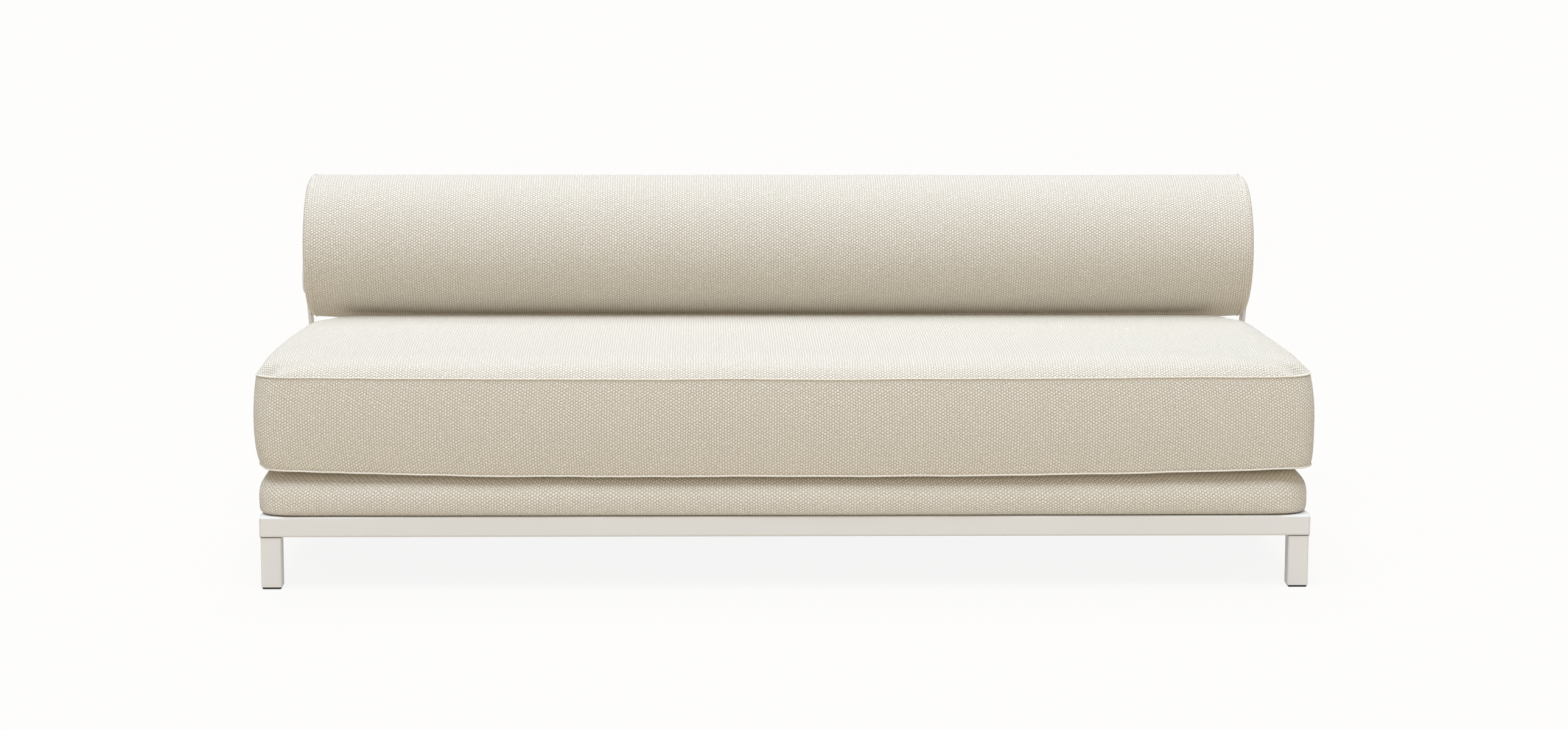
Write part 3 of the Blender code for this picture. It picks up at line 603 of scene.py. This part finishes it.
for seam in (top_seam, foot_seam):
    seam.sort(key=lambda i: runs[plan_mark(cells[i])])
crease = form.edges.layers.float.new("crease_edge")
for edge in form.edges:
    marks = [cells[v.index] for v in edge.verts]
    if all(at_either_end(m) and at_rim(m) for m in marks):
        edge[crease] = 1.0
lay_weave(form, cells, seat_girth)
seat = new_piece("seat_cover", form, weave, "seat")
settle(seat, held, seat_give)
for vertex in seat.data.vertices:
    gap = vertex.co - roll_axis
    gap.x = 0.0
    if gap.length < roll_clear:
        vertex.co += gap * (roll_clear / gap.length - 1)
    vertex.co.y = max(vertex.co.y, crease_y + crease_clear)
    vertex.co.z = min(vertex.co.z, crown_limit + crown_over * max(0.0, vertex.co.z - crown_limit))
    past = vertex.co.y - slope_y
    vertex.co.z = min(vertex.co.z, slope_height - (slope_behind if past > 0 else slope_ahead) * past)
soften(seat)
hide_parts("seat_cushion")

# The welts: smooth cotton twill folded round a thin cord and sewn into the two seams.
twill_waves, twill_waves_up = 3600.0, 3000.0
top_welt_out, top_welt_radius = 0.0006, 0.0015
foot_welt_out, foot_welt_radius = 0.0004, 0.0017
welt_cotton, start = new_finish("welt_cotton", Specular_IOR_Level=0.2, Sheen_Weight=0.2)
spot = start.place()
twill = spot.part(0) * twill_waves + spot.part(1) * twill_waves + spot.part(2) * twill_waves_up
twill = twill.maths("SINE")
lint = spot.cloud(900.0, 3.0)
tone = (lint * 0.6 + twill * 0.1).mixed((0.84, 0.80, 0.71, 1), (0.93, 0.90, 0.82, 1))
apply_finish(welt_cotton, tone, 0.8 + lint * 0.15, twill * 0.5 + lint * 0.5, 0.00015)


def sew_welt(name, points, radius, body):
    """A thin round welt all the way along a seam."""
    line = bpy.data.curves.new(name, "CURVE")
    line.dimensions = "3D"
    line.bevel_depth = radius
    line.bevel_resolution = 2
    seam = line.splines.new("POLY")
    seam.points.add(len(points) - 1)
    for point, at in zip(seam.points, points):
        point.co = (*at, 1.0)
    seam.use_cyclic_u = True
    line.materials.append(welt_cotton)
    welt = bpy.data.objects.new(name, line)
    scene.collection.objects.link(welt)
    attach(welt, body)


def seam_line(piece, seam, out):
    """The seam's points, moved out from the piece's middle by that much."""
    middle = sum((Vector(c) for c in piece.bound_box), Vector()) / 8
    points = [piece.data.vertices[i].co for i in seam]
    moved = []
    for before, here, after in zip(points[-1:] + points[:-1], points, points[1:] + points[:1]):
        away = (after - before).cross(Vector((0, 0, 1))).normalized()
        if away.dot(here - middle) < 0:
            away = -away
        moved.append(here + away * out)
    return moved


sew_welt("seat_top_welt", seam_line(seat, top_seam, top_welt_out), top_welt_radius, "seat")
sew_welt("seat_foot_welt", seam_line(seat, foot_seam, foot_welt_out), foot_welt_radius, "seat")

# Bolster: a firm round roll that is the back of the sofa, in the same weave, on a cardboard core
# between two plywood ends. A seam runs round near each end, where the end panel is sewn in, and the
# roll is a little fuller below, where it lies on the seat.

low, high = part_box("bolster_cushion")
roll_middle = (low + high) / 2
roll_half = (high.x - low.x) / 2
roll_radius = (high.z - low.z) / 2
roll_shoulder = 0.014
roll_straight = roll_half - roll_shoulder
roll_sag, roll_slack, roll_give = 0.0090, 0.0015, 0.002
roll_pressure = 2.0
end_hollow, end_rim = 0.0015, 0.136
end_radii = (0.0, 0.02, 0.045, 0.07, 0.095, 0.118, 0.130)
end_lean, end_lean_from = 0.0035, 0.9
shoulder_turns = [math.radians(a) for a in (0, 22.5, 45, 67.5)]
rows_along, rows_round = 120, 72
end_rows = [(roll_half - end_hollow * (1 - (r / end_rim) ** 2), r) for r in end_radii]
turn_rows = [(roll_half - roll_shoulder * (1 - math.cos(t)),
              roll_radius - roll_shoulder * (1 - math.sin(t))) for t in shoulder_turns]
row_gap = 2 * roll_straight / rows_along
body_rows = [(roll_straight - i * row_gap, roll_radius) for i in range(rows_along + 1)]
profile = end_rows + turn_rows + body_rows + [(-x, r) for x, r in reversed(end_rows + turn_rows)]
form = bmesh.new()
points = [form.verts.new((x, r, 0.0)) for x, r in profile]
lines = [form.edges.new(pair) for pair in zip(points, points[1:])]
bmesh.ops.spin(form, geom=points + lines, cent=(0, 0, 0), axis=(1, 0, 0), dvec=(0, 0, 0),
               angle=2 * math.pi, steps=rows_round, use_merge=True, use_duplicate=False)
bmesh.ops.remove_doubles(form, verts=form.verts, dist=1e-6)
bmesh.ops.recalc_face_normals(form, faces=form.faces)
form.verts.index_update()
uv = form.loops.layers.uv.new("weave")
for face in form.faces:
    if abs(face.normal.x) > 0.8:
        for loop in face.loops:
            loop[uv].uv = loop.vert.co.yz
        continue
    turns = [math.atan2(loop.vert.co.z, loop.vert.co.y) % (2 * math.pi) for loop in face.loops]
    if max(turns) - min(turns) > math.pi:
        turns = [t + 2 * math.pi if t < math.pi else t for t in turns]
    for loop, t in zip(face.loops, turns):
        loop[uv].uv = (loop.vert.co.x, roll_radius * t)
held = []
for vertex in form.verts:
    x, y, z = vertex.co
    if abs(x) < roll_straight - 0.001:
        radius = math.hypot(y, z)
        sag = roll_sag * max(0.0, -z / radius) ** 2 * (1 - (x / roll_half) ** 8)
        ripple = wave(x, y * 2, z * 2, size=0.24, depth=0.0009)
        ripple += wave(x, y * 2, z * 2, size=0.06, depth=0.0003)
        swell = 1 + (ripple - roll_slack + sag) / radius
        vertex.co = (x, y * swell, z * swell)
    else:
        held.append(vertex.index)
    if abs(x) > end_lean_from:
        ahead_share = max(0.0, -vertex.co.y / roll_radius)
        end_share = (abs(x) - end_lean_from) / (roll_half - end_lean_from)
        vertex.co.x += math.copysign(end_lean, x) * ahead_share * end_share
bmesh.ops.translate(form, vec=roll_middle, verts=form.verts)
bolster = new_piece("bolster_cover", form, weave, "bolster")
settle(bolster, held, roll_give, roll_pressure)
soften(bolster)
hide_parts("bolster_cushion")

end_seam_inset, end_seam_radius = 0.0125, 0.0007
end_seam_ring = roll_radius + 0.0001
end_seam_turns = [2 * math.pi * i / 96 for i in range(96)]
for side, name in ((-1, "bolster_end_seam_left"), (1, "bolster_end_seam_right")):
    end_x = side * (roll_half - end_seam_inset)
    ring = [roll_middle + Vector((end_x, end_seam_ring * math.cos(t), end_seam_ring * math.sin(t)))
            for t in end_seam_turns]
    sew_welt(name, ring, end_seam_radius, "bolster")

# Bolster core and ends: a spiral-wound cardboard tube and two plywood discs, hidden in the roll. The
# pins that hang in the arms are fixed to the discs.

cardboard, start = new_finish("hard_cardboard", Specular_IOR_Level=0.2)
spot = start.place()
pulp = spot.cloud(500.0, 4.0, 0.65)
wound = (spot.part(0) * 70.0 + spot.part(2) * 60.0).maths("SINE").between(0.96, 1.0)
tone = pulp.mixed((0.33, 0.23, 0.14, 1), (0.45, 0.33, 0.21, 1))
apply_finish(cardboard, tone, 0.85 + pulp * 0.1, pulp - wound, 0.0003)
dress(cardboard, "bolster_core")
dress(birch, "bolster_end_board_left", "bolster_end_board_right")

# Studio: a plain pale floor that shows as white, a dim sky and three soft lamps: one above and a
# little in front, a warm one low in front and a cool one behind. A long lens stands seven and a half
# metres off, a metre and a half above the floor.


def seen_rays(start):
    """One for the rays that show a surface to the camera, also by way of metal or glass, else nought."""
    seen = start.node("ShaderNodeLightPath", output="Is Camera Ray")
    for kind in ("Is Glossy Ray", "Is Transmission Ray"):
        seen = seen.maths("MAXIMUM", start.node("ShaderNodeLightPath", output=kind))
    return seen


floor_half = 60.0
floor_white_share = 0.90
studio_floor, start = new_finish("studio_floor", Base_Color=(0.66, 0.585, 0.48, 1), Roughness=0.9,
                                 Specular_IOR_Level=0.1)
tree = studio_floor.node_tree
lit = Shade(tree, tree.nodes["Principled BSDF"].outputs[0])
glow = start.node("ShaderNodeEmission", None, {"Color": (1, 1, 1, 1), "Strength": 1.0})
both = start.node("ShaderNodeMixShader", None, {0: seen_rays(start) * floor_white_share, 1: lit, 2: glow})
tree.links.new(both.socket, tree.nodes["Material Output"].inputs["Surface"])
form = bmesh.new()
bmesh.ops.create_grid(form, x_segments=1, y_segments=1, size=floor_half)
mesh = bpy.data.meshes.new("studio_floor")
form.to_mesh(mesh)
form.free()
mesh.materials.append(studio_floor)
floor = bpy.data.objects.new("studio_floor", mesh)
scene.collection.objects.link(floor)

sky_all_round, sky_behind_share = 0.09, 0.35
sky_overhead = 0.45
world = bpy.data.worlds.new("studio")
scene.world = world
world.use_nodes = True
tree = world.node_tree
start = Shade(tree)
way = start.place("Generated")
round_about = sky_all_round * way.part(1).between(-0.2, 0.7, 1.0, sky_behind_share)
overhead = way.part(2).maths("MAXIMUM", 0.0) * sky_overhead
sky = tree.nodes["Background"]
sky.inputs["Color"].default_value = (1.0, 1.0, 1.0, 1)
tree.links.new((round_about + overhead).socket, sky.inputs["Strength"])
white = start.node("ShaderNodeBackground", None, {"Color": (1, 1, 1, 1), "Strength": 1.0})
both = start.node("ShaderNodeMixShader", None,
                  {0: seen_rays(start), 1: Shade(tree, sky.outputs[0]), 2: white})
tree.links.new(both.socket, tree.nodes["World Output"].inputs["Surface"])


def hang_lamp(name, strength, spread, colour, turn):
    """A soft lamp far off, that many degrees wide, turned by those degrees from straight down."""
    lamp = bpy.data.lights.new(name, "SUN")
    lamp.energy = strength
    lamp.angle = math.radians(spread)
    lamp.color = colour
    stand = bpy.data.objects.new(name, lamp)
    stand.rotation_euler = [math.radians(a) for a in turn]
    scene.collection.objects.link(stand)


hang_lamp("soft_lamp", strength=2.78, spread=44, colour=(0.81, 0.885, 1.0), turn=(14, -4, 0))
hang_lamp("front_fill", strength=0.44, spread=30, colour=(1.0, 0.82, 0.60), turn=(70, 0, 2))
hang_lamp("back_fill", strength=0.75, spread=30, colour=(0.90, 0.94, 1.0), turn=(-30, 0, 0))

pitch, yaw, roll = (math.radians(a) for a in (8.99, 1.33, -0.15))
ahead = Vector((math.sin(yaw) * math.cos(pitch), math.cos(yaw) * math.cos(pitch), -math.sin(pitch)))
level = Vector((math.cos(yaw), -math.sin(yaw), 0.0))
down = ahead.cross(level)
right = math.cos(roll) * level + math.sin(roll) * down
up = math.sin(roll) * level - math.cos(roll) * down
lens = bpy.data.cameras.new("long_lens")
lens.lens = 85.30
lens.sensor_width = 36.0
lens.sensor_fit = "HORIZONTAL"
lens.clip_end = 200.0
camera = bpy.data.objects.new("long_lens", lens)
camera.matrix_world = Matrix((right, up, -ahead)).transposed().to_4x4()
camera.location = (-0.168, -7.466, 1.544)
scene.collection.objects.link(camera)
scene.camera = camera
scene.view_settings.view_transform = "Standard"
